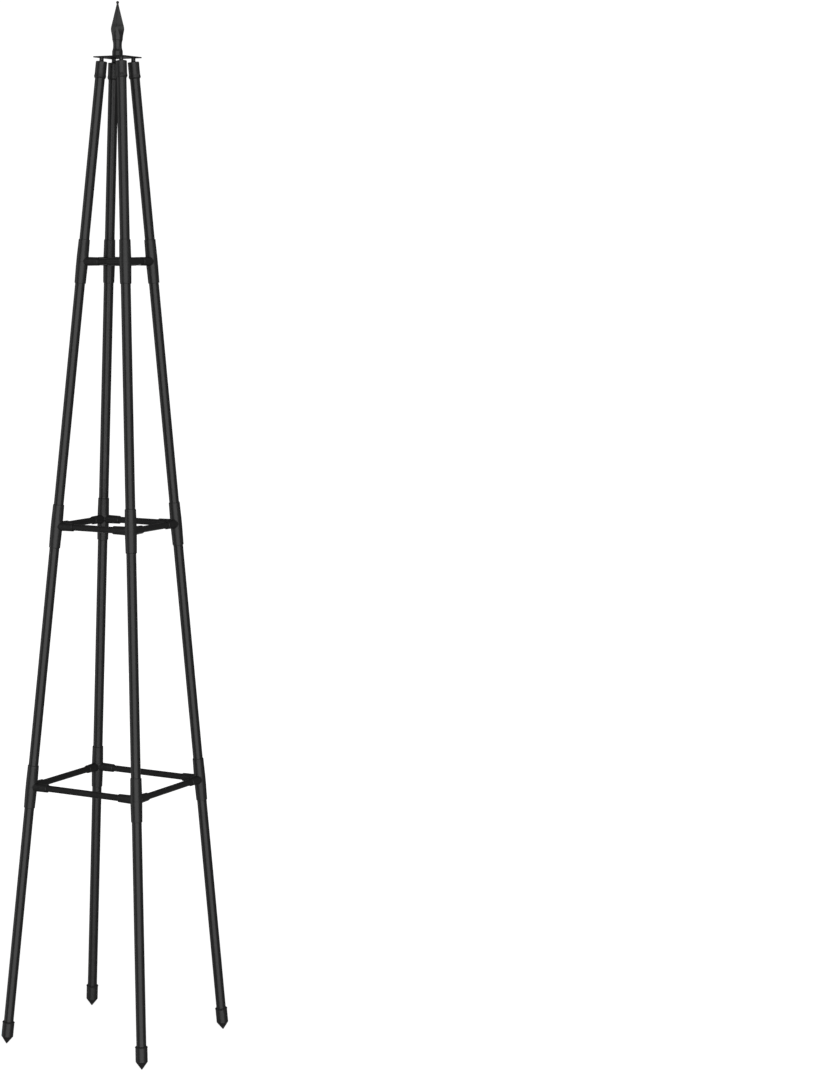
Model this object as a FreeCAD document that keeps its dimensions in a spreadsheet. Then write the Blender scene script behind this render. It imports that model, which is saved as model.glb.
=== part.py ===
import FreeCAD, Part
import math
import os

import Sketcher

# Garden obelisk: four leaning tube legs, three square rings of thinner bars, moulded fittings at every joint,
# pointed feet, and a small square plate that carries a spearhead finial.
# Origin: on the upright axis, level with the tips of the feet.
# +Z is up, and the rings' sides run along X and Y.

os.makedirs("parts", exist_ok=True)
doc = FreeCAD.newDocument("GardenObelisk")

# ---------------------------------------------------------------- driving dimensions (millimetres, degrees)

SIZES = {
    # the whole frame
    "overall_height": 1800,
    "foot_spacing": 277.7,          # between neighbouring leg axes at the tips of the feet
    "cap_spacing": 39.1,            # between neighbouring leg axes at the tops of the caps
    "cap_top_height": 1698.5,
    "ring_low_height": 455.4,
    "ring_pitch": 453.2,            # from each ring to the next
    # tubes
    "tube_dia": 17,
    "bar_dia": 11.2,
    "tube_wall": 0.6,
    "fit_gap": 0.1,                 # radial clearance of a tube in its socket
    # corner connectors: the sleeve round the leg and its two socket arms
    "sleeve_length": 75,
    "sleeve_end_dia": 19.4,
    "sleeve_mid_dia": 20.4,
    "sleeve_land": 18,              # the straight middle of the sleeve
    "sleeve_bevel": 0.6,
    "sleeve_web": 3,                # the wall inside that the leg tubes stop on
    "arm_reach": 34.5,              # from the leg's axis to the mouth of the socket
    "arm_tip_dia": 14.3,
    "arm_root_dia": 15.6,
    "arm_bevel": 0.5,
    "socket_depth": 23,
    "arm_blend": 1.2,
    # foot caps
    "foot_length": 39.8,
    "foot_dia": 20.8,
    "foot_floor": 16,               # the bar of solid plastic between the tip and the tube
    "tip_round": 1.1,
    "point_angle": 36,              # half of the point's angle
    "shoulder_round": 1.6,
    "bead_dia": 21.8,
    "bead_height": 2.6,
    "bead_step": 0.8,               # the height over which the bead swells
    "bead_bevel": 1.1,
    # top caps
    "cap_length": 28.4,
    "cap_top_dia": 19.4,
    "cap_top_bevel": 0.7,
    "cap_roof": 3.5,
    "cap_rim_dia": 20.6,
    "cap_rim_bevel": 2.6,
    "cap_rim_land": 0.8,
    "cap_rim_taper": 4.2,
    "cap_lip": 0.5,                 # the thickness of the wall at the very mouth
    "post_dia": 7.3,
    "post_top_height": 1705.1,
    "post_blend": 1.8,
    # plate
    "plate_side": 60.4,
    "plate_thickness": 2,
    "plate_corner": 1.5,
    # finial, heights above the plate
    "base_dia": 18.2,
    "base_bevel": 0.35,
    "base_height": 9,
    "waist_low_height": 12,
    "waist_low_dia": 16.2,
    "waist_high_height": 27.2,
    "waist_high_dia": 17,
    "waist_curve": 33,
    "bulb_foot_height": 28,
    "bulb_foot_dia": 17.9,
    "bulb_low_height": 30.5,
    "bulb_low_dia": 18,
    "bulb_hollow": 75,              # the hollow curve that leads up to the belly
    "belly_low_height": 41.9,
    "belly_low_dia": 21.8,
    "belly_curve": 21,
    "belly_high_height": 49,
    "belly_high_dia": 22.3,
    "neck_height": 86.6,
    "cone_top_dia": 3.6,
    "neck_dia": 3.4,
    "neck_step": 0.9,
    "ball_dia": 5,
    # the four flats of the blade: distances from the axis and heights
    "flat_top_height": 87,
    "flat_top": 1.75,
    "flare_height": 57.3,           # below here the flats swing outwards
    "flare": 6.6,
    "flare_curve": 39,
    "shoulder_height": 52,
    "shoulder": 7.95,
    "shoulder_curve": 33.6,
    "flat_foot_height": 37.4,
    "flat_foot": 9.4,
    "flat_end_height": 32.3,
    "flat_end": 9.25,
    "finial_turn": -22.4,           # where the thread happens to tighten
    # screws
    "finial_screw_dia": 5,
    "finial_screw_head_dia": 8.8,
    "finial_screw_length": 16,
    "plate_screw_dia": 2.9,
    "plate_screw_head_dia": 5.6,
    "plate_screw_length": 9.5,
    "screw_clearance": 0.2,
    "screw_tip_bevel": 0.7,
    "hole_spare": 0.5,              # how much deeper a hole is than what goes into it
    "slot_width": 0.5,              # the cross in a screw's head, in head radii
    "slot_length": 1.1,
    "slot_depth": 0.4,
    "countersink_angle": 90,
}

ROUNDING = 1e-4                     # lengths that differ by less than this are the same

sheet = doc.addObject("Spreadsheet::Sheet", "size")
for row, (alias, value) in enumerate(SIZES.items(), start=1):
    sheet.set(f"A{row}", alias.replace("_", " "))
    sheet.set(f"B{row}", str(value))
    sheet.setAlias(f"B{row}", alias)
doc.recompute()

# Formulas that several pieces share. LEAN is the leg's run per unit of height, seen in the diagonal plane.
LEAN = "((size.foot_spacing - size.cap_spacing) / sqrt(2) / size.cap_top_height)"
STRETCH = f"sqrt(1 + {LEAN}^2)"
TUBE_BORE = "(size.tube_dia / 2 + size.fit_gap)"
BAR_BORE = "(size.bar_dia / 2 + size.fit_gap)"


def number(formula):
    """Return what a formula of sheet sizes comes to."""
    result = sheet.evalExpression(formula.replace("size.", "."))
    return float(getattr(result, "Value", result))


LEAN_ANGLE = math.degrees(math.atan(number(LEAN)))
FOOT_HALF = sheet.foot_spacing / 2
HALF_CLOSING = (sheet.foot_spacing - sheet.cap_spacing) / 2 / sheet.cap_top_height

CORNERS = {"front_left": 0, "front_right": 90, "back_right": 180, "back_left": 270}
SIDES = {"front": 0, "right": 90, "back": 180, "left": 270}
RINGS = {
    "low": sheet.ring_low_height,
    "mid": sheet.ring_low_height + sheet.ring_pitch,
    "high": sheet.ring_low_height + 2 * sheet.ring_pitch,
}

# ---------------------------------------------------------------- places

UP = FreeCAD.Vector(0, 0, 1)
LEANING = FreeCAD.Rotation(FreeCAD.Vector(-1, 1, 0), LEAN_ANGLE)


def at(x, y, z, rotation=FreeCAD.Rotation()):
    return FreeCAD.Placement(FreeCAD.Vector(x, y, z), rotation)


def turned(angle):
    return at(0, 0, 0, FreeCAD.Rotation(UP, angle))


def half_side(height):
    """Half the distance between neighbouring leg axes at a height."""
    return FOOT_HALF - HALF_CLOSING * height


def corner_place(turn, height):
    """An upright frame on a leg's axis; its X and Y run along the ring's two sides, away from the corner."""
    half = half_side(height)
    return turned(turn) * at(-half, -half, height)


def leg_place(turn, along):
    """A frame on a leg's axis, a distance along it from the ground, with Z up the leg."""
    return turned(turn) * at(-FOOT_HALF, -FOOT_HALF, 0, LEANING) * at(0, 0, along)


# ---------------------------------------------------------------- bodies and sketches

def new_body(label, place):
    body = doc.addObject("PartDesign::Body", label)
    body.Label = label
    body.Placement = place
    return body


def origin_feature(body, role):
    return next(item for item in body.Origin.OriginFeatures if item.Role == role)


def new_sketch(body, role, offset=FreeCAD.Placement()):
    """A sketch on one of the body's own origin planes, moved from it by offset."""
    sketch = body.newObject("Sketcher::SketchObject", f"{body.Label}_outline")
    sketch.AttachmentSupport = (origin_feature(body, role), "")
    sketch.MapMode = "FlatFace"
    sketch.AttachmentOffset = offset
    return sketch


def bind(sketch, constraint, formula):
    """Add a constraint and tie its value to a formula."""
    index = sketch.addConstraint(constraint)
    sketch.renameConstraint(index, f"value{index}")
    sketch.setExpression(f"Constraints.value{index}", formula)


def pin_point(sketch, geometry, end, x_formula, y_formula):
    """Hold a point at a place given by two formulas; a zero puts it on the axis."""
    for kind, axis, formula in (("DistanceX", -2, x_formula), ("DistanceY", -1, y_formula)):
        value = number(formula)
        if abs(value) < ROUNDING:
            sketch.addConstraint(Sketcher.Constraint("PointOnObject", geometry, end, axis))
        else:
            bind(sketch, Sketcher.Constraint(kind, -1, 1, geometry, end, value), formula)


def arc_between(start, end, radius, turn):
    """The short arc from start to end, its centre to the left or right of the way from one to the other."""
    chord = end - start
    middle = start + chord * 0.5
    left = FreeCAD.Vector(-chord.y, chord.x, 0).normalize()
    rise = math.sqrt(radius ** 2 - (chord.Length / 2) ** 2)
    centre = middle + left * (rise if turn == "left" else -rise)
    first, last = (start, end) if turn == "left" else (end, start)
    angles = [math.atan2(point.y - centre.y, point.x - centre.x) for point in (first, last)]
    if angles[1] < angles[0]:
        angles[1] += 2 * math.pi
    return Part.ArcOfCircle(Part.Circle(centre, UP, radius), *angles)


def draw_outline(sketch, corners):
    """Close an outline through corners given as (x formula, y formula).

    A corner may also name the arc that leaves it: (x, y, radius formula, side its centre is on).
    """
    points = [FreeCAD.Vector(number(corner[0]), number(corner[1]), 0) for corner in corners]
    runs = []
    for index, corner in enumerate(corners):
        start, end = points[index], points[(index + 1) % len(points)]
        if len(corner) == 2:
            runs.append((sketch.addGeometry(Part.LineSegment(start, end)), 1, 2))
            continue
        radius, turn = corner[2:]
        arc = sketch.addGeometry(arc_between(start, end, number(radius), turn))
        runs.append((arc, 1, 2) if turn == "left" else (arc, 2, 1))
    for before, after in zip(runs, runs[1:] + runs[:1]):
        sketch.addConstraint(Sketcher.Constraint("Coincident", before[0], before[2], after[0], after[1]))
    for run, corner in zip(runs, corners):
        pin_point(sketch, run[0], run[1], corner[0], corner[1])
        if len(corner) == 4:
            bind(sketch, Sketcher.Constraint("Radius", run[0], number(corner[2])), corner[2])


def draw_circles(sketch, *diameters):
    """Concentric circles about the sketch's origin."""
    for formula in diameters:
        circle = Part.Circle(FreeCAD.Vector(), UP, number(formula) / 2)
        geometry = sketch.addGeometry(circle)
        sketch.addConstraint(Sketcher.Constraint("Coincident", geometry, 3, -1, 1))
        bind(sketch, Sketcher.Constraint("Diameter", geometry, number(formula)), formula)


def turn_outline(body, kind, corners, axis="V_Axis", role="XZ_Plane", offset=FreeCAD.Placement()):
    """Revolve an outline about an axis of its sketch; kind is Revolution to add or Groove to cut."""
    sketch = new_sketch(body, role, offset)
    draw_outline(sketch, corners)
    feature = body.newObject(f"PartDesign::{kind}", f"{body.Label}_{kind.lower()}")
    feature.Profile = sketch
    feature.ReferenceAxis = (sketch, [axis])
    feature.Angle = 360
    return feature


def pad(body, sketch, length):
    feature = body.newObject("PartDesign::Pad", f"{body.Label}_pad")
    feature.Profile = sketch
    feature.setExpression("Length", length)
    return feature


def blend(body, base, edges, radius):
    """Fillet edges of the body's last feature."""
    feature = body.newObject("PartDesign::Fillet", f"{body.Label}_blend")
    feature.Base = (base, edges)
    feature.setExpression("Radius", radius)
    return feature


def edges_where(feature, test):
    """Names of the feature's edges for which test is true."""
    return [f"Edge{index}" for index, edge in enumerate(feature.Shape.Edges, start=1) if test(edge)]


def drill(body, points, diameter, depth, height="0", upward=False, countersink=None):
    """Drill holes at (x, y) formulas from a plane at a height above the body's XY plane."""
    sketch = new_sketch(body, "XY_Plane", at(0, 0, number(height)))
    sketch.setExpression("AttachmentOffset.Base.z", height)
    for x_formula, y_formula in points:
        centre = FreeCAD.Vector(number(x_formula), number(y_formula), 0)
        geometry = sketch.addGeometry(Part.Circle(centre, UP, number(diameter) / 2))
        bind(sketch, Sketcher.Constraint("Diameter", geometry, number(diameter)), diameter)
        pin_point(sketch, geometry, 3, x_formula, y_formula)
    hole = body.newObject("PartDesign::Hole", f"{body.Label}_hole")
    hole.Profile = sketch
    doc.recompute()
    hole.ThreadType = "None"
    hole.Reversed = upward
    hole.DepthType = "Dimension"
    hole.DrillPoint = "Flat"
    hole.setExpression("Diameter", diameter)
    hole.setExpression("Depth", depth)
    if countersink:
        hole.HoleCutType = "Countersink"
        hole.HoleCutCustomValues = True
        hole.setExpression("HoleCutCountersinkAngle", "size.countersink_angle")
        hole.setExpression("HoleCutDiameter", countersink)
    return hole


# ---------------------------------------------------------------- tubes

def build_tube(label, place, diameter, length):
    """A straight tube that starts at its own origin and runs along +Z."""
    body = new_body(label, place)
    sketch = new_sketch(body, "XY_Plane")
    draw_circles(sketch, diameter, f"{diameter} - 2 * size.tube_wall")
    pad(body, sketch, length)
    return body


def build_leg(corner, turn):
    """The four tubes of one leg. Each stands on a web or floor and reaches up to the next one."""
    half_web = sheet.sleeve_web / 2
    stretch = number(STRETCH)
    low, mid, high = (height * stretch for height in RINGS.values())
    full_length = f"size.ring_pitch * {STRETCH} - size.sleeve_web"
    bottom_length = f"size.ring_low_height * {STRETCH} - size.foot_floor - size.sleeve_web / 2"
    top_rise = "(size.cap_top_height - size.ring_low_height - 2 * size.ring_pitch)"
    top_length = f"{top_rise} * {STRETCH} - size.cap_roof - size.sleeve_web / 2"
    sections = (
        ("bottom", sheet.foot_floor, bottom_length),
        ("lower", low + half_web, full_length),
        ("upper", mid + half_web, full_length),
        ("top", high + half_web, top_length),
    )
    return [
        build_tube(f"leg_{corner}_{section}", leg_place(turn, start), "size.tube_dia", length)
        for section, start, length in sections
    ]


def build_crossbar(ring, height, side, turn):
    """One side of a ring: a thin tube between the floors of two facing sockets."""
    half = half_side(height)
    socket_floor = sheet.arm_reach - sheet.socket_depth
    along_x = FreeCAD.Rotation(FreeCAD.Vector(0, 1, 0), 90)
    place = turned(turn) * at(-half + socket_floor, -half, height, along_x)
    closing = "(size.foot_spacing - size.cap_spacing) / size.cap_top_height"
    steps = list(RINGS).index(ring)
    rise = f"(size.ring_low_height + {steps} * size.ring_pitch)"
    spacing = f"(size.foot_spacing - {closing} * {rise})"
    length = f"{spacing} - 2 * (size.arm_reach - size.socket_depth)"
    return build_tube(f"crossbar_{ring}_{side}", place, "size.bar_dia", length)


# ---------------------------------------------------------------- fittings

def leg_section_offset(start):
    """Moves a sketch from the XY plane into the upright plane of the leg's axis.

    The sketch's Y then runs up the leg, from a start measured along the leg.
    """
    across = FreeCAD.Vector(1, -1, 0).normalize()
    up_leg = LEANING.multVec(UP)
    rotation = FreeCAD.Rotation(across, up_leg, across.cross(up_leg), "XYZ")
    return FreeCAD.Placement(up_leg * start, rotation)


def build_connector(ring, height, corner, turn):
    """A sleeve that joins two leg tubes, with two level socket arms square to each other."""
    body = new_body(f"connector_{ring}_{corner}", corner_place(turn, height))
    sleeve_base = leg_section_offset(-sheet.sleeve_length / 2)
    end_radius = "size.sleeve_end_dia / 2"
    mid_radius = "size.sleeve_mid_dia / 2"
    land_low = "(size.sleeve_length - size.sleeve_land) / 2"
    land_high = "(size.sleeve_length + size.sleeve_land) / 2"
    turn_outline(body, "Revolution", [
        ("0", "0"),
        (f"{end_radius} - size.sleeve_bevel", "0"),
        (end_radius, "size.sleeve_bevel"),
        (mid_radius, land_low),
        (mid_radius, land_high),
        (end_radius, "size.sleeve_length - size.sleeve_bevel"),
        (f"{end_radius} - size.sleeve_bevel", "size.sleeve_length"),
        ("0", "size.sleeve_length"),
    ], role="XY_Plane", offset=sleeve_base)

    arm_outline = [
        ("0", "0"),
        ("size.arm_reach", "0"),
        ("size.arm_reach", "size.arm_tip_dia / 2 - size.arm_bevel"),
        ("size.arm_reach - size.arm_bevel", "size.arm_tip_dia / 2"),
        ("0", "size.arm_root_dia / 2"),
    ]
    socket_outline = [
        ("size.arm_reach - size.socket_depth", "0"),
        ("size.arm_reach", "0"),
        ("size.arm_reach", BAR_BORE),
        ("size.arm_reach - size.socket_depth", BAR_BORE),
    ]
    for axis in ("H_Axis", "V_Axis"):
        corners = arm_outline if axis == "H_Axis" else [point[::-1] for point in arm_outline]
        arms = turn_outline(body, "Revolution", corners, axis=axis, role="XY_Plane")
    doc.recompute()

    seams = edges_where(arms, lambda edge: not isinstance(edge.Curve, (Part.Circle, Part.Line)))
    blend(body, arms, seams, "size.arm_blend")
    doc.recompute()

    for axis in ("H_Axis", "V_Axis"):
        corners = socket_outline if axis == "H_Axis" else [point[::-1] for point in socket_outline]
        turn_outline(body, "Groove", corners, axis=axis, role="XY_Plane")
    half_depth = "(size.sleeve_length - size.sleeve_web) / 2"
    for low, high in (("0", half_depth), (f"size.sleeve_length - {half_depth}", "size.sleeve_length")):
        turn_outline(body, "Groove", [("0", low), (TUBE_BORE, low), (TUBE_BORE, high), ("0", high)],
                     role="XY_Plane", offset=sleeve_base)
    return body


def build_foot(corner, turn):
    """A pointed cap with a rounded tip, which touches the ground, and a bead round its mouth."""
    body = new_body(f"foot_{corner}", leg_place(turn, 0))
    centre = f"size.tip_round * {STRETCH}"
    slope = "size.point_angle * 1 deg"
    tangent_radius = f"size.tip_round * cos({slope})"
    tangent_height = f"{centre} - size.tip_round * sin({slope})"
    apex = f"({centre} - size.tip_round / sin({slope}))"
    shoulder = f"({apex} + size.foot_dia / 2 / tan({slope}))"
    bead_low = "size.foot_length - size.bead_height"
    cap = turn_outline(body, "Revolution", [
        ("0", f"{centre} - size.tip_round", "size.tip_round", "left"),
        (tangent_radius, tangent_height),
        ("size.foot_dia / 2", shoulder),
        ("size.foot_dia / 2", bead_low),
        ("size.bead_dia / 2", f"{bead_low} + size.bead_step"),
        ("size.bead_dia / 2", "size.foot_length - size.bead_bevel"),
        ("size.bead_dia / 2 - size.bead_bevel", "size.foot_length"),
        (TUBE_BORE, "size.foot_length"),
        (TUBE_BORE, "size.foot_floor"),
        ("0", "size.foot_floor"),
    ])
    doc.recompute()
    shoulder_height = number(shoulder)
    rim = edges_where(cap, lambda edge: abs(edge.BoundBox.ZMin - shoulder_height) < ROUNDING
                      and abs(edge.BoundBox.ZMax - shoulder_height) < ROUNDING)
    blend(body, cap, rim, "size.shoulder_round")
    return body


def build_top_cap(corner, turn):
    """A sleeve closed by a roof, with an upright post that the plate is screwed to."""
    body = new_body(f"top_cap_{corner}", corner_place(turn, sheet.cap_top_height))
    sleeve_base = leg_section_offset(-sheet.cap_length)
    top_radius = "size.cap_top_dia / 2"
    rim_radius = "size.cap_rim_dia / 2"
    turn_outline(body, "Revolution", [
        (TUBE_BORE, "0"),
        (f"{TUBE_BORE} + size.cap_lip", "0"),
        (rim_radius, "size.cap_rim_bevel"),
        (rim_radius, "size.cap_rim_bevel + size.cap_rim_land"),
        (top_radius, "size.cap_rim_bevel + size.cap_rim_land + size.cap_rim_taper"),
        (top_radius, "size.cap_length - size.cap_top_bevel"),
        (f"{top_radius} - size.cap_top_bevel", "size.cap_length"),
        ("0", "size.cap_length"),
        ("0", "size.cap_length - size.cap_roof"),
        (TUBE_BORE, "size.cap_length - size.cap_roof"),
    ], role="XY_Plane", offset=sleeve_base)

    post_root = -sheet.cap_roof / 2
    sketch = new_sketch(body, "XY_Plane", at(0, 0, post_root))
    draw_circles(sketch, "size.post_dia")
    post = pad(body, sketch, "size.post_top_height - size.cap_top_height + size.cap_roof / 2")
    doc.recompute()

    post_middle = (sheet.post_top_height - sheet.cap_top_height) / 2
    widest = 2 * sheet.post_dia
    seam = edges_where(post, lambda edge: edge.BoundBox.ZMin > post_root
                       and edge.BoundBox.ZMax < post_middle and edge.BoundBox.DiagonalLength < widest)
    blend(body, post, seam, "size.post_blend")
    doc.recompute()

    drill(body, [("0", "0")], "size.plate_screw_dia + size.screw_clearance / 2",
          "size.plate_screw_length - size.plate_thickness + size.hole_spare",
          height="size.post_top_height - size.cap_top_height")
    return body


# ---------------------------------------------------------------- top plate, finial and screws

POST_HALF = half_side(sheet.cap_top_height)


def build_plate():
    """A thin square plate, drilled and countersunk above for the posts and below for the finial."""
    body = new_body("top_plate", at(0, 0, sheet.post_top_height))
    sketch = new_sketch(body, "XY_Plane", at(-sheet.plate_side / 2, -sheet.plate_side / 2, 0))
    draw_outline(sketch, [("0", "0"), ("size.plate_side", "0"), ("size.plate_side", "size.plate_side"),
                          ("0", "size.plate_side")])
    square = pad(body, sketch, "size.plate_thickness")
    doc.recompute()
    corner_edges = edges_where(square, lambda edge: edge.BoundBox.ZLength > sheet.plate_thickness / 2)
    blend(body, square, corner_edges, "size.plate_corner")
    doc.recompute()
    post_half = "size.cap_spacing / 2"
    signs = (-1, 1)
    posts = [(f"{sign_x} * {post_half}", f"{sign_y} * {post_half}") for sign_x in signs for sign_y in signs]
    through = "size.plate_thickness + size.hole_spare"
    drill(body, posts, "size.plate_screw_dia + size.screw_clearance", through,
          height="size.plate_thickness", countersink="size.plate_screw_head_dia + 2 * size.screw_clearance")
    drill(body, [("0", "0")], "size.finial_screw_dia + size.screw_clearance", through,
          upward=True, countersink="size.finial_screw_head_dia + 2 * size.screw_clearance")
    return body


def build_finial():
    """A turned spindle with a ball on its point and four flats, which run out on its round bulb."""
    plate_top = sheet.post_top_height + sheet.plate_thickness
    place = at(0, 0, plate_top, FreeCAD.Rotation(UP, sheet.finial_turn))
    body = new_body("finial", place)
    top = "(size.overall_height - size.post_top_height - size.plate_thickness)"
    ball_radius = "(size.ball_dia / 2)"
    ball_foot = f"{top} - {ball_radius} - sqrt({ball_radius}^2 - (size.neck_dia / 2)^2)"
    turn_outline(body, "Revolution", [
        ("0", "0"),
        ("size.base_dia / 2 - size.base_bevel", "0"),
        ("size.base_dia / 2", "size.base_bevel"),
        ("size.base_dia / 2", "size.base_height"),
        ("size.waist_low_dia / 2", "size.waist_low_height", "size.waist_curve", "right"),
        ("size.waist_high_dia / 2", "size.waist_high_height"),
        ("size.bulb_foot_dia / 2", "size.bulb_foot_height"),
        ("size.bulb_low_dia / 2", "size.bulb_low_height", "size.bulb_hollow", "right"),
        ("size.belly_low_dia / 2", "size.belly_low_height", "size.belly_curve", "left"),
        ("size.belly_high_dia / 2", "size.belly_high_height"),
        ("size.cone_top_dia / 2", "size.neck_height"),
        ("size.neck_dia / 2", "size.neck_height + size.neck_step"),
        ("size.neck_dia / 2", ball_foot, ball_radius, "left"),
        ("0", top),
    ])
    doc.recompute()

    sketch = new_sketch(body, "XZ_Plane")
    draw_outline(sketch, [
        ("size.flat_end", "size.flat_end_height"),
        ("size.belly_high_dia", "size.flat_end_height"),
        ("size.belly_high_dia", "size.flat_top_height"),
        ("size.flat_top", "size.flat_top_height"),
        ("size.flare", "size.flare_height", "size.flare_curve", "left"),
        ("size.shoulder", "size.shoulder_height", "size.shoulder_curve", "right"),
        ("size.flat_foot", "size.flat_foot_height"),
    ])
    flat = body.newObject("PartDesign::Pocket", "finial_flat")
    flat.Profile = sketch
    flat.SideType = "Symmetric"
    flat.setExpression("Length", "2 * size.belly_high_dia")
    doc.recompute()
    flats = body.newObject("PartDesign::PolarPattern", "finial_flats")
    flats.Originals = [flat]
    flats.Axis = (origin_feature(body, "Z_Axis"), [""])
    flats.Angle = 360
    flats.Occurrences = 4
    body.Tip = flats
    doc.recompute()
    drill(body, [("0", "0")], "size.finial_screw_dia + size.screw_clearance / 2",
          "size.finial_screw_length - size.plate_thickness + size.hole_spare", upward=True)
    return body


def build_screw(label, place, prefix):
    """A countersunk screw that points along -Z, its flat head level with its own XY plane."""
    body = new_body(label, place)
    head = f"(size.{prefix}_head_dia / 2)"
    shank = f"(size.{prefix}_dia / 2)"
    length = f"size.{prefix}_length"
    land = "size.screw_clearance / 2"
    turn_outline(body, "Revolution", [
        ("0", "0"),
        (f"{shank} - size.screw_tip_bevel", "0"),
        (shank, "size.screw_tip_bevel"),
        (shank, f"{length} - {land} - {head} + {shank}"),
        (head, f"{length} - {land}"),
        (head, length),
        ("0", length),
    ])
    doc.recompute()
    slot_width = f"{head} * size.slot_width"
    slot_length = f"{head} * size.slot_length"
    for across, along in ((slot_width, slot_length), (slot_length, slot_width)):
        sketch = new_sketch(body, "XY_Plane", at(-number(across) / 2, -number(along) / 2, number(length)))
        draw_outline(sketch, [("0", "0"), (across, "0"), (across, along), ("0", along)])
        slot = body.newObject("PartDesign::Pocket", f"{label}_slot")
        slot.Profile = sketch
        slot.setExpression("Length", f"{head} * size.slot_depth")
        doc.recompute()
    return body


def build_screws():
    """The finial's screw comes up through the plate; four smaller ones go down into the posts."""
    plate_top = sheet.post_top_height + sheet.plate_thickness
    upside_down = FreeCAD.Rotation(FreeCAD.Vector(1, 0, 0), 180)
    finial_screw_place = at(0, 0, sheet.post_top_height + sheet.finial_screw_length, upside_down)
    finial_screw = build_screw("finial_screw", finial_screw_place, "finial_screw")
    singles = []
    for corner, turn in CORNERS.items():
        place = turned(turn) * at(-POST_HALF, -POST_HALF, plate_top - sheet.plate_screw_length)
        singles.append(build_screw(f"plate_screw_{corner}", place, "plate_screw"))
    group = doc.addObject("Part::Compound", "plate_screws")
    group.Label = "plate_screws"
    group.Links = singles
    return [finial_screw, group]


# ---------------------------------------------------------------- the obelisk

pieces = []
for corner, turn in CORNERS.items():
    pieces += build_leg(corner, turn)
    pieces.append(build_foot(corner, turn))
    pieces.append(build_top_cap(corner, turn))
for ring, height in RINGS.items():
    for side, turn in SIDES.items():
        pieces.append(build_crossbar(ring, height, side, turn))
    for corner, turn in CORNERS.items():
        pieces.append(build_connector(ring, height, corner, turn))
pieces.append(build_plate())
pieces.append(build_finial())
pieces += build_screws()
doc.recompute()

faults = [item.Name for item in doc.Objects if "Invalid" in item.State or "Error" in item.State]
faults += [piece.Label for piece in pieces if piece.Shape.isNull() or not piece.Shape.isValid()]
if faults:
    raise SystemExit(f"not built: {faults}")
for piece in pieces:
    piece.Shape.exportStep(f"parts/{piece.Label}.step")
    print(f"{piece.Label:34s} {len(piece.Shape.Solids)} solid(s) {piece.Shape.Volume / 1000:9.3f} cm3")
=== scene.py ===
import math

import bmesh
import bpy
from mathutils import Matrix, Vector
from mathutils.bvhtree import BVHTree


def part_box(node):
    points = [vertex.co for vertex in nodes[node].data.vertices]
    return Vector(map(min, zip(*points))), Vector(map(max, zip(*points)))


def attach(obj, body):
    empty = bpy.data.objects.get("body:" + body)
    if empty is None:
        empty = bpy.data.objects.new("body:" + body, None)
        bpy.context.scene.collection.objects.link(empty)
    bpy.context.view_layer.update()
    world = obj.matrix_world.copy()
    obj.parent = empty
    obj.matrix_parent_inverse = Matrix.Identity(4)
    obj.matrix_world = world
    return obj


# The looks of the garden obelisk: materials for the nodes of the CAD frame, parting lines laid on its moulded
# fittings, and a white studio. Lengths are in metres.

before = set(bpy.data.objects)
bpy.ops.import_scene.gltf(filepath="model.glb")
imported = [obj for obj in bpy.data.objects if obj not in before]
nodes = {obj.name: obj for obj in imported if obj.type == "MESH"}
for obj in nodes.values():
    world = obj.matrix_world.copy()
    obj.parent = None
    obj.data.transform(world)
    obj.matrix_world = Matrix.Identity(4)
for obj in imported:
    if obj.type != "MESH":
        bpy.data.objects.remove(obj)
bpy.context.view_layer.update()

CORNERS = ("front_left", "front_right", "back_right", "back_left")
RINGS = ("low", "mid", "high")
SECTIONS = ("bottom", "lower", "upper", "top")
UP = Vector((0, 0, 1))
MM = 0.001
WHITE = (1, 1, 1, 1)

# ---------------------------------------------------------------- camera

CAMERA_AZIMUTH = math.radians(32.0)
CAMERA_DISTANCE = 4.5393            # metres from the upright axis, measured level
CAMERA_HEIGHT = 1.3879
CAMERA_PITCH = math.radians(-6.356)
CAMERA_ROLL = math.radians(0.096)
CAMERA_LENS = 87.976                # millimetres
CAMERA_SENSOR = 36.0                # millimetres
CAMERA_SHIFT_X = 0.2753             # of the picture's longer side; the object is left of the middle
CLIP_NEAR, CLIP_FAR = 0.05, 60


def heading(azimuth):
    """The level direction from the object towards something at an azimuth: 0 is the front, -Y."""
    return Vector((math.sin(azimuth), -math.cos(azimuth), 0))


def build_camera():
    """A camera with the upright axis left of the middle of its view."""
    data = bpy.data.cameras.new("camera")
    data.lens = CAMERA_LENS
    data.sensor_width = CAMERA_SENSOR
    data.sensor_fit = "AUTO"
    data.shift_x = CAMERA_SHIFT_X
    data.clip_start, data.clip_end = CLIP_NEAR, CLIP_FAR
    camera = bpy.data.objects.new("camera", data)
    bpy.context.scene.collection.objects.link(camera)
    camera.location = heading(CAMERA_AZIMUTH) * CAMERA_DISTANCE + UP * CAMERA_HEIGHT
    aim = Matrix.Rotation(CAMERA_AZIMUTH, 4, "Z") @ Matrix.Rotation(math.pi / 2 + CAMERA_PITCH, 4, "X")
    camera.rotation_euler = (aim @ Matrix.Rotation(CAMERA_ROLL, 4, "Z")).to_euler()
    bpy.context.scene.camera = camera


# ---------------------------------------------------------------- node trees

NOISE_LOW, NOISE_HIGH = 0.3, 0.7    # nearly all of a noise's values lie between these


def new_material(name):
    """A material with a Principled shader; returns the material, its node tree and the shader."""
    material = bpy.data.materials.new(name)
    material.use_nodes = True
    return material, material.node_tree, material.node_tree.nodes["Principled BSDF"]


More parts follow.
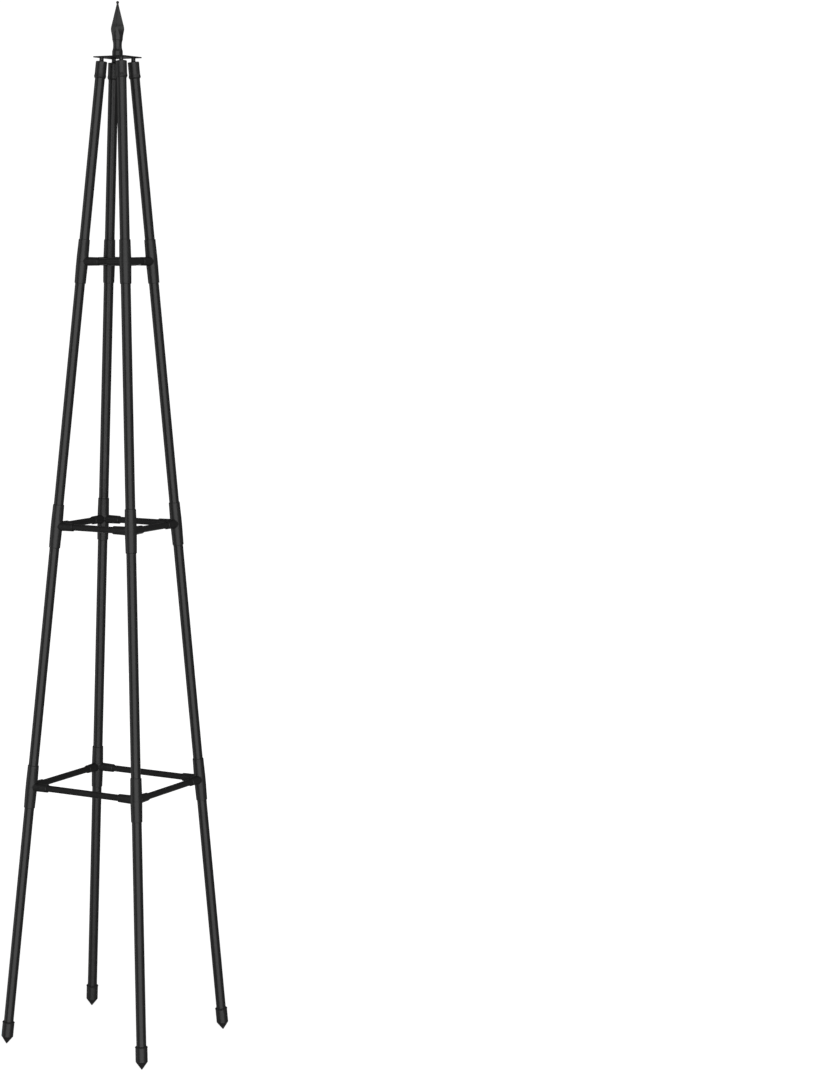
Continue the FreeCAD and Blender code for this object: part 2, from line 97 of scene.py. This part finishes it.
def coordinates(tree, axis=UP, stretch=1.0):
    """The object's own coordinates, turned so that Z runs along an axis and divided there by stretch."""
    source = tree.nodes.new("ShaderNodeTexCoord")
    mapping = tree.nodes.new("ShaderNodeMapping")
    mapping.vector_type = "TEXTURE"
    mapping.inputs["Rotation"].default_value = axis.to_track_quat("Z", "Y").to_euler()
    mapping.inputs["Scale"].default_value = (1, 1, stretch)
    tree.links.new(source.outputs["Object"], mapping.inputs["Vector"])
    return mapping.outputs["Vector"]


def noise(tree, vector, scale, detail=3.0, roughness=0.5):
    """A cloudy texture; scale is in features per metre."""
    node = tree.nodes.new("ShaderNodeTexNoise")
    node.inputs["Scale"].default_value = scale
    node.inputs["Detail"].default_value = detail
    node.inputs["Roughness"].default_value = roughness
    tree.links.new(vector, node.inputs["Vector"])
    return node.outputs["Fac"]


def cells(tree, vector, scale):
    """Distance to the nearest of many scattered points; scale is in points per metre."""
    node = tree.nodes.new("ShaderNodeTexVoronoi")
    node.inputs["Scale"].default_value = scale
    tree.links.new(vector, node.inputs["Vector"])
    return node.outputs["Distance"]


def combine(tree, operation, first, second):
    """Arithmetic on two values, each of which is a socket or a number."""
    node = tree.nodes.new("ShaderNodeMath")
    node.operation = operation
    for socket, value in zip(node.inputs, (first, second)):
        if isinstance(value, (int, float)):
            socket.default_value = value
        else:
            tree.links.new(value, socket)
    return node.outputs["Value"]


def mixed(tree, first, second, share):
    """Two textures added in the proportion share to 1 - share."""
    return combine(tree, "ADD", combine(tree, "MULTIPLY", first, share),
                   combine(tree, "MULTIPLY", second, 1 - share))


def spread(tree, value, low, high, start=NOISE_LOW, end=NOISE_HIGH):
    """Map start..end to low..high, held level outside."""
    node = tree.nodes.new("ShaderNodeMapRange")
    node.inputs["From Min"].default_value = start
    node.inputs["From Max"].default_value = end
    node.inputs["To Min"].default_value = low
    node.inputs["To Max"].default_value = high
    tree.links.new(value, node.inputs["Value"])
    return node.outputs["Result"]


def greys(tree, value, low, high):
    """Map a noise to a neutral grey between two linear values."""
    node = tree.nodes.new("ShaderNodeValToRGB")
    for element, position, grey in zip(node.color_ramp.elements, (NOISE_LOW, NOISE_HIGH), (low, high)):
        element.position = position
        element.color = (grey, grey, grey, 1)
    tree.links.new(value, node.inputs["Fac"])
    return node.outputs["Color"]


def bump(tree, height, strength, depth, below=None):
    """Relief of a given depth, laid over the relief below if there is any."""
    node = tree.nodes.new("ShaderNodeBump")
    node.inputs["Strength"].default_value = strength
    node.inputs["Distance"].default_value = depth
    tree.links.new(height, node.inputs["Height"])
    if below is not None:
        tree.links.new(below, node.inputs["Normal"])
    return node.outputs["Normal"]


def finish_surface(tree, shader, colour, roughness, normal):
    """Join a material's three channels to its shader."""
    tree.links.new(colour, shader.inputs["Base Color"])
    tree.links.new(roughness, shader.inputs["Roughness"])
    tree.links.new(normal, shader.inputs["Normal"])


# ---------------------------------------------------------------- stage and light

FLOOR_REACH = 40                    # from the upright axis to each edge
FLOOR_GLOW_NEAR, FLOOR_GLOW_FAR = 0.90, 1.02
FLOOR_NEAR, FLOOR_FAR = 0.5, 2.0    # where the one glow starts to turn into the other, and where it ends
FLOOR_GREY = (0.78, 0.82)
FLOOR_ROUGHNESS = (0.9, 1.0)
FLOOR_MOTTLE, FLOOR_GRAIN = 3, 400
WHITE_BACKDROP = 1.05
ROOM_GLOW = 0.07

# For each light: the azimuth, height and distance of its middle, its width and height, and its radiance.
SOFTBOXES = {
    "key": (36, 0.8, 9.0, (14.0, 10.4), 1.40),
    "left_fill": (-67, 1.2, 5.0, (4.2, 6.0), 0.53),
    "right_high": (103, 3.15, 3.2, (1.9, 1.3), 1.1),
    "back_fill": (212, -1.0, 4.0, (4.4, 2.2), 0.50),
    "high_back": (212, 3.9, 1.84, (1.8, 2.1), 0.40),
}


def build_floor():
    """A pale floor that only the camera sees: it isn't reflected in the tubes and throws no light on them."""
    mesh = bpy.data.meshes.new("floor")
    corners = [(x * FLOOR_REACH, y * FLOOR_REACH, 0) for x, y in ((-1, -1), (1, -1), (1, 1), (-1, 1))]
    mesh.from_pydata(corners, [], [(0, 1, 2, 3)])
    floor = bpy.data.objects.new("floor", mesh)
    bpy.context.scene.collection.objects.link(floor)
    floor.visible_glossy = False
    floor.visible_diffuse = False
    floor.visible_shadow = False
    material, tree, shader = new_material("floor_pale")
    shader.inputs["Specular IOR Level"].default_value = 0
    shader.inputs["Emission Color"].default_value = WHITE
    distance = tree.nodes.new("ShaderNodeVectorMath")
    distance.operation = "LENGTH"
    tree.links.new(coordinates(tree), distance.inputs[0])
    glow = spread(tree, distance.outputs["Value"], FLOOR_GLOW_NEAR, FLOOR_GLOW_FAR,
                  start=FLOOR_NEAR, end=FLOOR_FAR)
    tree.links.new(glow, shader.inputs["Emission Strength"])
    mottle = noise(tree, coordinates(tree), FLOOR_MOTTLE)
    grain = noise(tree, coordinates(tree), FLOOR_GRAIN)
    finish_surface(tree, shader, greys(tree, mottle, *FLOOR_GREY), spread(tree, grain, *FLOOR_ROUGHNESS),
                   bump(tree, grain, strength=0.1, depth=0.2 * MM))
    mesh.materials.append(material)


def build_world():
    """White to the camera; what the tubes reflect and are filled by is a dim room."""
    world = bpy.data.worlds.new("studio")
    bpy.context.scene.world = world
    world.use_nodes = True
    tree = world.node_tree
    path = tree.nodes.new("ShaderNodeLightPath")
    strength = spread(tree, path.outputs["Is Camera Ray"], ROOM_GLOW, WHITE_BACKDROP, start=0, end=1)
    tree.nodes["Background"].inputs["Color"].default_value = WHITE
    tree.links.new(strength, tree.nodes["Background"].inputs["Strength"])


def softbox(name, azimuth, height, distance, size, radiance):
    """An upright rectangular light that faces the upright axis and glows evenly."""
    data = bpy.data.lights.new(name, "AREA")
    data.shape = "RECTANGLE"
    data.size, data.size_y = size
    data.energy = radiance * math.pi * size[0] * size[1]
    light = bpy.data.objects.new(name, data)
    bpy.context.scene.collection.objects.link(light)
    light.visible_camera = False
    away = heading(math.radians(azimuth))
    light.location = away * distance + UP * height
    light.rotation_euler = away.to_track_quat("Z", "Y").to_euler()


def build_lights():
    """A broad key from the camera's side, one at the left, a high one at the right, and two behind."""
    for name, (azimuth, height, distance, size, radiance) in SOFTBOXES.items():
        softbox(name, azimuth, height, distance, size, radiance)
    bpy.context.scene.view_settings.view_transform = "Standard"
    bpy.context.scene.view_settings.look = "None"


# ---------------------------------------------------------------- where things are

def middle(node):
    """The middle of a node's box."""
    low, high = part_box(node)
    return (Vector(low) + Vector(high)) / 2


def leg_axis(corner):
    """The unit vector up a leg. The middle of a straight tube's box is on the tube's axis."""
    return (middle(f"leg_{corner}_top") - middle(f"leg_{corner}_bottom")).normalized()


def leg_point(corner, height):
    """The point of a leg's axis at a height."""
    base, axis = middle(f"leg_{corner}_bottom"), leg_axis(corner)
    return base + axis * ((height - base.z) / axis.z)


def inward(corner):
    """The level directions of a corner's two bars, away from the leg."""
    x, y, _ = leg_point(corner, 0)
    return Vector((-math.copysign(1, x), 0, 0)), Vector((0, -math.copysign(1, y), 0))


# ---------------------------------------------------------------- materials

# Each surface has a pair of linear greys and a pair of roughnesses, between which its textures move it.
TUBE_GREY, TUBE_ROUGHNESS = (0.021, 0.027), (0.27, 0.34)
MOULDING_GREY, MOULDING_ROUGHNESS = (0.022, 0.029), (0.31, 0.41)
PLATE_GREY, PLATE_ROUGHNESS = (0.011, 0.016), (0.27, 0.35)
FINIAL_GREY, FINIAL_ROUGHNESS = (0.022, 0.028), (0.28, 0.36)
SCREW_GREY, SCREW_ROUGHNESS = (0.035, 0.08), (0.35, 0.55)
SCREW_METALLIC = 0.9

# How many times longer a texture's features are along an axis than across it.
TUBE_DRAWN = 60
MOULDING_FLOW = 3
FINIAL_DRIP = 4
SCREW_TURNED = 0.1


def tube_material(name, axis):
    """Thick satin plastic coating on tube, with the long faint marks that drawing it leaves."""
    material, tree, shader = new_material(name)
    plain = coordinates(tree)
    clouds = noise(tree, plain, scale=45)
    streaks = noise(tree, coordinates(tree, axis, TUBE_DRAWN), scale=1400, detail=4)
    dullness = noise(tree, plain, scale=300)
    orange_peel = noise(tree, plain, scale=700, detail=2)
    specks = cells(tree, plain, scale=1600)
    colour = greys(tree, mixed(tree, clouds, streaks, share=0.6), *TUBE_GREY)
    roughness = spread(tree, mixed(tree, streaks, dullness, share=0.7), *TUBE_ROUGHNESS)
    skin = bump(tree, streaks, strength=0.4, depth=0.05 * MM)
    skin = bump(tree, orange_peel, strength=0.4, depth=0.06 * MM, below=skin)
    skin = bump(tree, specks, strength=0.12, depth=0.03 * MM, below=skin)
    finish_surface(tree, shader, colour, roughness, skin)
    return material


def moulding_material():
    """Injection-moulded plastic: a fine spark-eroded texture with faint flow clouds."""
    material, tree, shader = new_material("moulded_fitting")
    plain = coordinates(tree)
    flow = noise(tree, coordinates(tree, UP, MOULDING_FLOW), scale=130, detail=4, roughness=0.6)
    grain = noise(tree, plain, scale=3200, detail=3, roughness=0.7)
    pits = cells(tree, plain, scale=2400)
    colour = greys(tree, flow, *MOULDING_GREY)
    roughness = spread(tree, mixed(tree, flow, grain, share=0.5), *MOULDING_ROUGHNESS)
    skin = bump(tree, grain, strength=0.35, depth=0.03 * MM)
    skin = bump(tree, pits, strength=0.2, depth=0.03 * MM, below=skin)
    finish_surface(tree, shader, colour, roughness, skin)
    return material


def plate_material():
    """Powder coat: a pebbled skin with a slow swell."""
    material, tree, shader = new_material("painted_plate")
    plain = coordinates(tree)
    swell = noise(tree, plain, scale=120, detail=2)
    pebble = noise(tree, plain, scale=1500, detail=2, roughness=0.4)
    fleck = cells(tree, plain, scale=900)
    colour = greys(tree, mixed(tree, swell, fleck, share=0.5), *PLATE_GREY)
    roughness = spread(tree, pebble, *PLATE_ROUGHNESS)
    skin = bump(tree, swell, strength=0.3, depth=0.1 * MM)
    skin = bump(tree, pebble, strength=0.4, depth=0.06 * MM, below=skin)
    finish_surface(tree, shader, colour, roughness, skin)
    return material


def finial_material():
    """Satin paint over a casting: the ghost of the sand below, softened by the paint."""
    material, tree, shader = new_material("painted_finial")
    plain = coordinates(tree)
    casting = noise(tree, plain, scale=260, detail=4, roughness=0.6)
    drips = noise(tree, coordinates(tree, UP, FINIAL_DRIP), scale=320, detail=2)
    grain = noise(tree, plain, scale=2200, detail=2)
    colour = greys(tree, casting, *FINIAL_GREY)
    roughness = spread(tree, mixed(tree, drips, grain, share=0.6), *FINIAL_ROUGHNESS)
    skin = bump(tree, casting, strength=0.25, depth=0.06 * MM)
    skin = bump(tree, grain, strength=0.15, depth=0.03 * MM, below=skin)
    finish_surface(tree, shader, colour, roughness, skin)
    return material


def screw_material():
    """Blackened steel, worn a little lighter in patches, with marks across its axis."""
    material, tree, shader = new_material("screw")
    shader.inputs["Metallic"].default_value = SCREW_METALLIC
    patches = noise(tree, coordinates(tree), scale=900, detail=4, roughness=0.7)
    marks = noise(tree, coordinates(tree, UP, SCREW_TURNED), scale=1800, detail=3)
    colour = greys(tree, patches, *SCREW_GREY)
    roughness = spread(tree, marks, *SCREW_ROUGHNESS)
    finish_surface(tree, shader, colour, roughness, bump(tree, marks, strength=0.3, depth=0.04 * MM))
    return material


def dress(names, material):
    """Make a material the only one on each of the named nodes."""
    for name in names:
        slots = nodes[name].data.materials
        slots.clear()
        slots.append(material)


# For each direction that the bars run in: the direction, and the sides of the object they are on.
BAR_RUNS = {
    "x": (Vector((1, 0, 0)), ("front", "back")),
    "y": (Vector((0, 1, 0)), ("left", "right")),
}


def dress_nodes(moulding):
    """Dress every node of the frame; the tubes' streaks run along each leg and each direction of bar."""
    for corner in CORNERS:
        legs = [f"leg_{corner}_{section}" for section in SECTIONS]
        dress(legs, tube_material(f"coated_tube_{corner}", leg_axis(corner)))
        fittings = [f"foot_{corner}", f"top_cap_{corner}"]
        dress(fittings + [f"connector_{ring}_{corner}" for ring in RINGS], moulding)
    for run, (axis, sides) in BAR_RUNS.items():
        bars = [f"crossbar_{ring}_{side}" for ring in RINGS for side in sides]
        dress(bars, tube_material(f"coated_tube_{run}", axis))
    dress(["top_plate"], plate_material())
    dress(["finial"], finial_material())
    dress(["finial_screw", "plate_screws"], screw_material())


# ---------------------------------------------------------------- moulding seams

SEAM_HALF_WIDTH = 0.28 * MM
SEAM_HEIGHT = 0.10 * MM
SEAM_SINK = 0.12 * MM               # how far its edges lie below the surface, so that no gap shows
RIDGE_POINTS = 3                    # a seam's section is a triangle
RAY_START = 45 * MM                 # beyond any fitting's surface
RING_STEPS = 96
ARM_STEPS = 8
ARM_END = 0.8 * MM                  # the seam stops short of the socket's mouth
ARM_ROOT = 0.32                     # where an arm meets the sleeve, in arm lengths
BACK_START, BACK_END = -48, -222    # degrees from one arm round the sleeve's back to the other
BACK_STEPS = 36
CROTCH = (38, 42, 45, 48, 52)       # degrees, between the two arms
FOOT_SEAM = 38.2 * MM               # along the leg, up from the foot's tip
CAP_SEAM = 25.4 * MM                # along the leg, down from the height of the top tube's end


def surface_of(node):
    """A node's mesh as a tree that rays can be cast against."""
    mesh = nodes[node].data
    places = [vertex.co for vertex in mesh.vertices]
    return BVHTree.FromPolygons(places, [face.vertices for face in mesh.polygons])


def touch(surface, target, direction, across):
    """Where a ray towards target meets a surface, and which way the surface faces there, square to across."""
    place, normal, _, _ = surface.ray_cast(target - direction * RAY_START, direction)
    if normal.dot(direction) > 0:
        normal = -normal
    return place, (normal - across * normal.dot(across)).normalized()


def add_strip(vertices, faces, line, across, closed):
    """Add a thin three-sided ridge that runs along a line of (place, facing) pairs."""
    first = len(vertices)
    for place, facing in line:
        foot = place - facing * SEAM_SINK
        crest = place + facing * SEAM_HEIGHT
        vertices += [foot + across * SEAM_HALF_WIDTH, crest, foot - across * SEAM_HALF_WIDTH]
    steps = len(line) if closed else len(line) - 1
    for step in range(steps):
        here = first + RIDGE_POINTS * step
        there = first + RIDGE_POINTS * ((step + 1) % len(line))
        for side in range(RIDGE_POINTS):
            after = (side + 1) % RIDGE_POINTS
            faces.append((here + side, here + after, there + after, there + side))
    if not closed:
        last = first + RIDGE_POINTS * (len(line) - 1)
        faces += [(first + 2, first + 1, first), (last, last + 1, last + 2)]


def finish_seam(name, vertices, faces, material):
    """Turn the strips into a piece that rides on the body."""
    mesh = bpy.data.meshes.new(name)
    mesh.from_pydata(vertices, [], faces)
    working = bmesh.new()
    working.from_mesh(mesh)
    bmesh.ops.recalc_face_normals(working, faces=working.faces)
    working.to_mesh(mesh)
    working.free()
    mesh.materials.append(material)
    piece = bpy.data.objects.new(name, mesh)
    bpy.context.scene.collection.objects.link(piece)
    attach(piece, "root")


def seam_connector(ring, corner, material):
    """The mould parts level with the arms: one line round the sleeve's back, one through the crotch."""
    node = f"connector_{ring}_{corner}"
    surface = surface_of(node)
    centre = leg_point(corner, middle(f"crossbar_{ring}_front").z)
    arms = inward(corner)
    low, high = (Vector(point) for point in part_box(node))
    reach = max(abs(low.x - centre.x), abs(high.x - centre.x))
    tip, root = reach - ARM_END, ARM_ROOT * reach
    spots = [tip + (root - tip) * step / ARM_STEPS for step in range(ARM_STEPS + 1)]

    def along_arm(arm, side, order):
        return [touch(surface, centre + arm * spot, -side, UP) for spot in order]

    def around(angles):
        line = []
        for angle in map(math.radians, angles):
            outward = arms[0] * math.cos(angle) + arms[1] * math.sin(angle)
            line.append(touch(surface, centre, -outward, UP))
        return line

    back = [BACK_START + (BACK_END - BACK_START) * step / BACK_STEPS for step in range(BACK_STEPS + 1)]
    outbound = spots[::-1]
    outside = along_arm(arms[0], -arms[1], spots) + around(back) + along_arm(arms[1], -arms[0], outbound)
    inside = along_arm(arms[0], arms[1], spots) + around(CROTCH) + along_arm(arms[1], arms[0], outbound)
    vertices, faces = [], []
    for line in (outside, inside):
        add_strip(vertices, faces, line, UP, closed=False)
    finish_seam(f"seam_{node}", vertices, faces, material)


def seam_ring(node, centre, axis, material):
    """A line right round a foot or a top cap, where its mould closes."""
    surface = surface_of(node)
    side = axis.orthogonal().normalized()
    other = axis.cross(side)
    line = []
    for step in range(RING_STEPS):
        angle = math.tau * step / RING_STEPS
        outward = side * math.cos(angle) + other * math.sin(angle)
        line.append(touch(surface, centre, -outward, axis))
    vertices, faces = [], []
    add_strip(vertices, faces, line, axis, closed=True)
    finish_seam(f"seam_{node}", vertices, faces, material)


def build_seams(material):
    """Parting lines on the moulded fittings: four feet, four top caps and twelve connectors."""
    for corner in CORNERS:
        axis = leg_axis(corner)
        seam_ring(f"foot_{corner}", leg_point(corner, 0) + axis * FOOT_SEAM, axis, material)
        tube_top = leg_point(corner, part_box(f"leg_{corner}_top")[1][2])
        seam_ring(f"top_cap_{corner}", tube_top - axis * CAP_SEAM, axis, material)
        for ring in RINGS:
            seam_connector(ring, corner, material)


# ---------------------------------------------------------------- close

build_camera()
build_floor()
build_world()
build_lights()
moulding = moulding_material()
dress_nodes(moulding)
build_seams(moulding)
